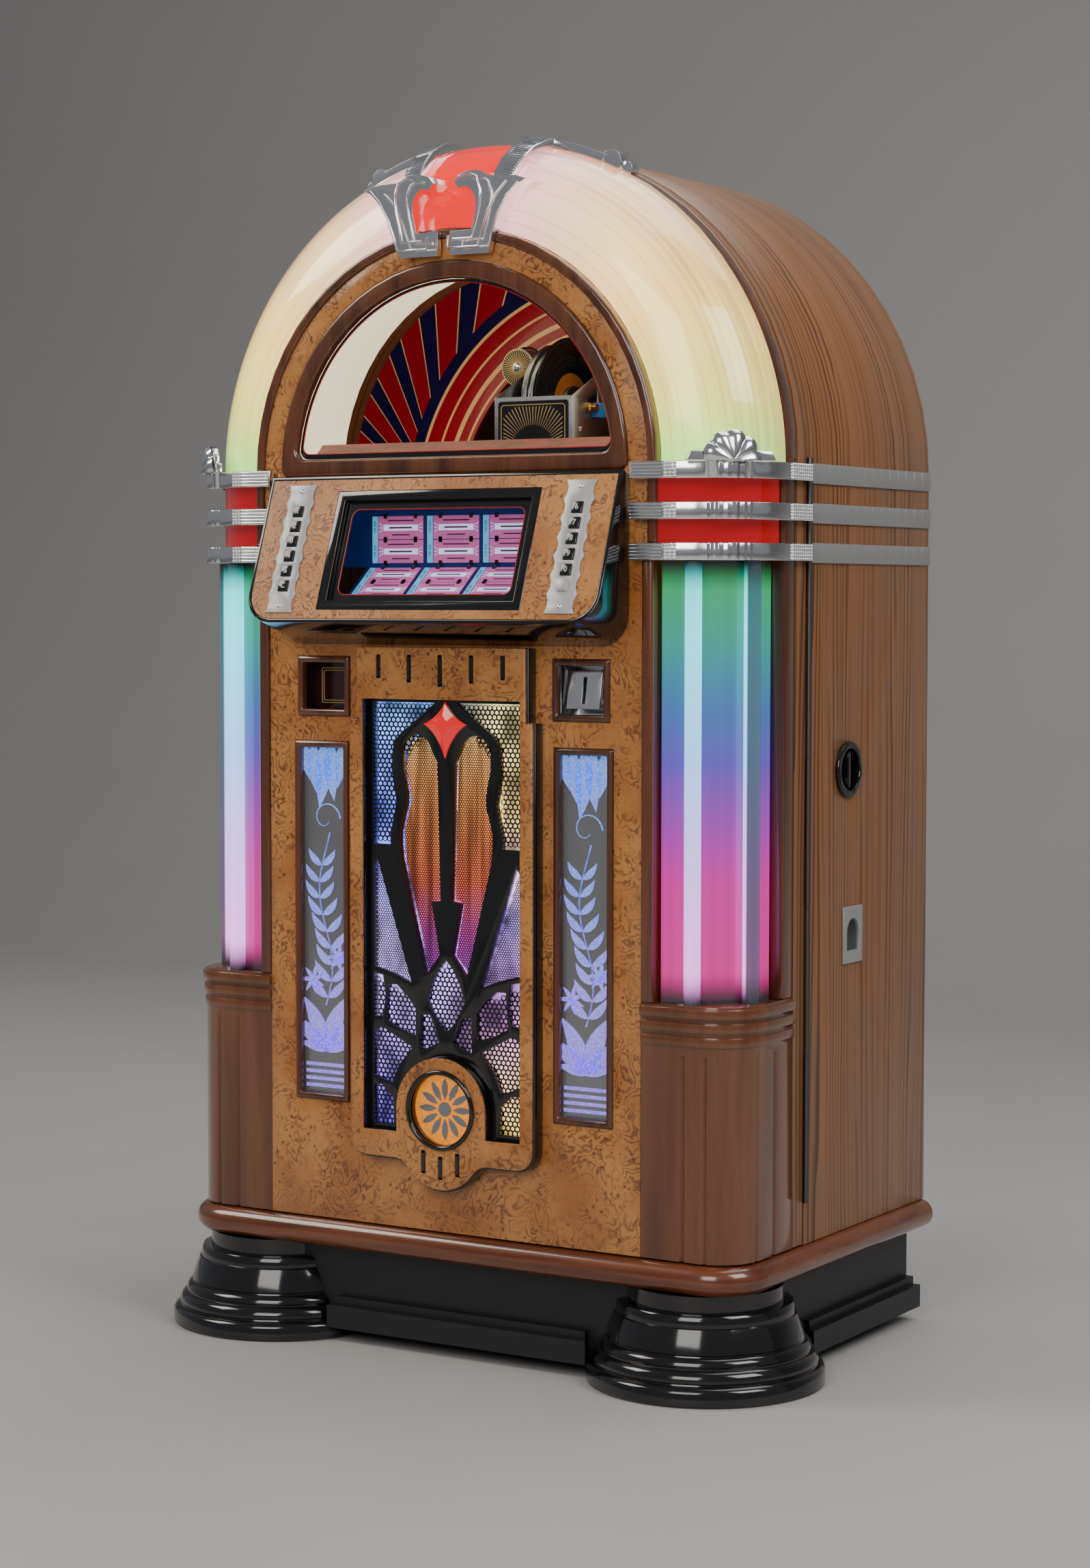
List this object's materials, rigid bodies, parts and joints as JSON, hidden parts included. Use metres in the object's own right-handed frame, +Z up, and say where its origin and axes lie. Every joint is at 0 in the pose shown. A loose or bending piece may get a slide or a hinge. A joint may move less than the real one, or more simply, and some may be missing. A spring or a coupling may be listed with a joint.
{
  "type": "vinyl jukebox",
  "caption": "Arched free-standing jukebox with lit columns, chrome bands, selector keys, tracery grille, hinged front and a vertical-playing record mechanism.",
  "frame": {"origin": "on the floor, under the middle of the overall width and depth", "axes": "+Z up, -Y towards the person who faces the front, +X to that person's right"},
  "size_m": [0.922, 0.6, 1.5164],
  "materials": {
    "side_veneer": "satin lacquer, straight grain",
    "raw_board": "raw",
    "black_paint": "matte",
    "brown_trim": "gloss lacquer",
    "gloss_black": "gloss",
    "chrome": "polished",
    "hinge_steel": "satin",
    "cream_liner": "satin",
    "burr_veneer": "gloss lacquer, burr figure",
    "clear_glass": "clear",
    "warm_lens": "lit, translucent",
    "red_lens": "lit, translucent",
    "cool_lens": "lit, translucent",
    "tube_lens": "lit, clear",
    "rack_metal": "satin",
    "satin_metal": "satin",
    "mesh_metal": "perforated",
    "red_jewel": "faceted",
    "amber_lens": "lit, translucent",
    "speaker_cone": "matte",
    "etched_mirror": "etched",
    "dark_window": "gloss",
    "red_apron": "gloss, marbled",
    "printed_board": "printed, satin",
    "plated_steel": "plated",
    "vinyl": "grooved",
    "grey_paint": "satin",
    "black_key": "gloss"
  },
  "bodies": {
    "cabinet": {"cabinet_shell": "side_veneer", "rear_panel": "raw_board", "plinth": "black_paint", "base_trim": "brown_trim", "feet": "gloss_black", "side_strips": "chrome", "cabinet_hinge_leaf": "hinge_steel", "mech_deck": "red_apron", "backdrop": "printed_board", "mech_chassis": "plated_steel", "magazine_bracket": "plated_steel", "amplifier": "grey_paint", "cash_box": "grey_paint", "lock_bezel": "gloss_black", "coin_return": "satin_metal"},
    "front_door": {"door_frame": "brown_trim", "door_hinge_leaf": "hinge_steel", "dome_liner": "cream_liner", "front_panel": "burr_veneer", "arch_lens": "warm_lens", "red_lenses": "red_lens", "crest_castings": "chrome", "column_lenses": "cool_lens", "light_tubes": "tube_lens", "chrome_bands": "chrome", "column_bases": "brown_trim", "front_mouldings": "brown_trim", "dome_glass": "clear_glass", "selector_casing": "gloss_black", "selector_face": "burr_veneer", "selector_glass": "clear_glass", "title_rack": "rack_metal", "key_plates": "satin_metal", "centre_backer": "black_paint", "centre_veneer": "burr_veneer", "grille_tracery": "black_paint", "grille_mesh": "mesh_metal", "star_jewel": "red_jewel", "medallion": "amber_lens", "woofer": "speaker_cone", "mirror_panels": "etched_mirror", "credit_display": "dark_window", "coin_entry": "chrome"},
    "button_1": {"key_1": "black_key"},
    "button_2": {"key_2": "black_key"},
    "button_3": {"key_3": "black_key"},
    "button_4": {"key_4": "black_key"},
    "button_5": {"key_5": "black_key"},
    "button_6": {"key_6": "black_key"},
    "button_7": {"key_7": "black_key"},
    "button_8": {"key_8": "black_key"},
    "button_9": {"key_9": "black_key"},
    "button_0": {"key_0": "black_key"},
    "button_c": {"key_c": "black_key"},
    "disc_turntable": {"turntable": "satin_metal", "playing_record": "vinyl"},
    "disc_magazine": {"record_magazine": "vinyl"},
    "transfer_gripper": {"gripper_arm": "plated_steel"},
    "pickup_arm": {"tonearm": "satin_metal"},
    "side_lock": {"lock_key": "satin_metal"}
  },
  "joints": [
    {"name": "door_hinge", "type": "hinge", "parent": "cabinet", "child": "front_door", "pos_m": [0.408, -0.051, 0.6635], "axis": [0, 0, 1], "range_deg": [0, 100]},
    {"name": "key_1_press", "type": "slide", "parent": "front_door", "child": "button_1", "axis": [0, 0.9431, -0.3325], "range_m": [0, 0.002], "stiffness_N_per_m": 300},
    {"name": "key_2_press", "type": "slide", "parent": "front_door", "child": "button_2", "axis": [0, 0.9431, -0.3325], "range_m": [0, 0.002], "stiffness_N_per_m": 300},
    {"name": "key_3_press", "type": "slide", "parent": "front_door", "child": "button_3", "axis": [0, 0.9431, -0.3325], "range_m": [0, 0.002], "stiffness_N_per_m": 300},
    {"name": "key_4_press", "type": "slide", "parent": "front_door", "child": "button_4", "axis": [0, 0.9431, -0.3325], "range_m": [0, 0.002], "stiffness_N_per_m": 300},
    {"name": "key_5_press", "type": "slide", "parent": "front_door", "child": "button_5", "axis": [0, 0.9431, -0.3325], "range_m": [0, 0.002], "stiffness_N_per_m": 300},
    {"name": "key_6_press", "type": "slide", "parent": "front_door", "child": "button_6", "axis": [0, 0.9431, -0.3325], "range_m": [0, 0.002], "stiffness_N_per_m": 300},
    {"name": "key_7_press", "type": "slide", "parent": "front_door", "child": "button_7", "axis": [0, 0.9431, -0.3325], "range_m": [0, 0.002], "stiffness_N_per_m": 300},
    {"name": "key_8_press", "type": "slide", "parent": "front_door", "child": "button_8", "axis": [0, 0.9431, -0.3325], "range_m": [0, 0.002], "stiffness_N_per_m": 300},
    {"name": "key_9_press", "type": "slide", "parent": "front_door", "child": "button_9", "axis": [0, 0.9431, -0.3325], "range_m": [0, 0.002], "stiffness_N_per_m": 300},
    {"name": "key_0_press", "type": "slide", "parent": "front_door", "child": "button_0", "axis": [0, 0.9431, -0.3325], "range_m": [0, 0.002], "stiffness_N_per_m": 300},
    {"name": "key_c_press", "type": "slide", "parent": "front_door", "child": "button_c", "axis": [0, 0.9431, -0.3325], "range_m": [0, 0.002], "stiffness_N_per_m": 300},
    {"name": "lock_turn", "type": "hinge", "parent": "cabinet", "child": "side_lock", "pos_m": [0.404, 0.064, 0.735], "axis": [1, 0, 0], "range_deg": [0, 90]},
    {"name": "magazine_turn", "type": "hinge", "parent": "cabinet", "child": "disc_magazine", "pos_m": [0.06, 0.1735, 1.057], "axis": [0, 1, 0], "continuous": true},
    {"name": "turntable_spin", "type": "hinge", "parent": "cabinet", "child": "disc_turntable", "pos_m": [0.06, -0.031, 1.187], "axis": [1, 0, 0], "continuous": true},
    {"name": "gripper_swing", "type": "hinge", "parent": "cabinet", "child": "transfer_gripper", "pos_m": [0.06, 0.07125, 1.127], "axis": [1, 0, 0], "range_deg": [-59.3, 59.3]},
    {"name": "arm_swing", "type": "hinge", "parent": "cabinet", "child": "pickup_arm", "pos_m": [0.07, 0.065, 1.262], "axis": [1, 0, 0], "range_deg": [-22, 14]}
  ]
}
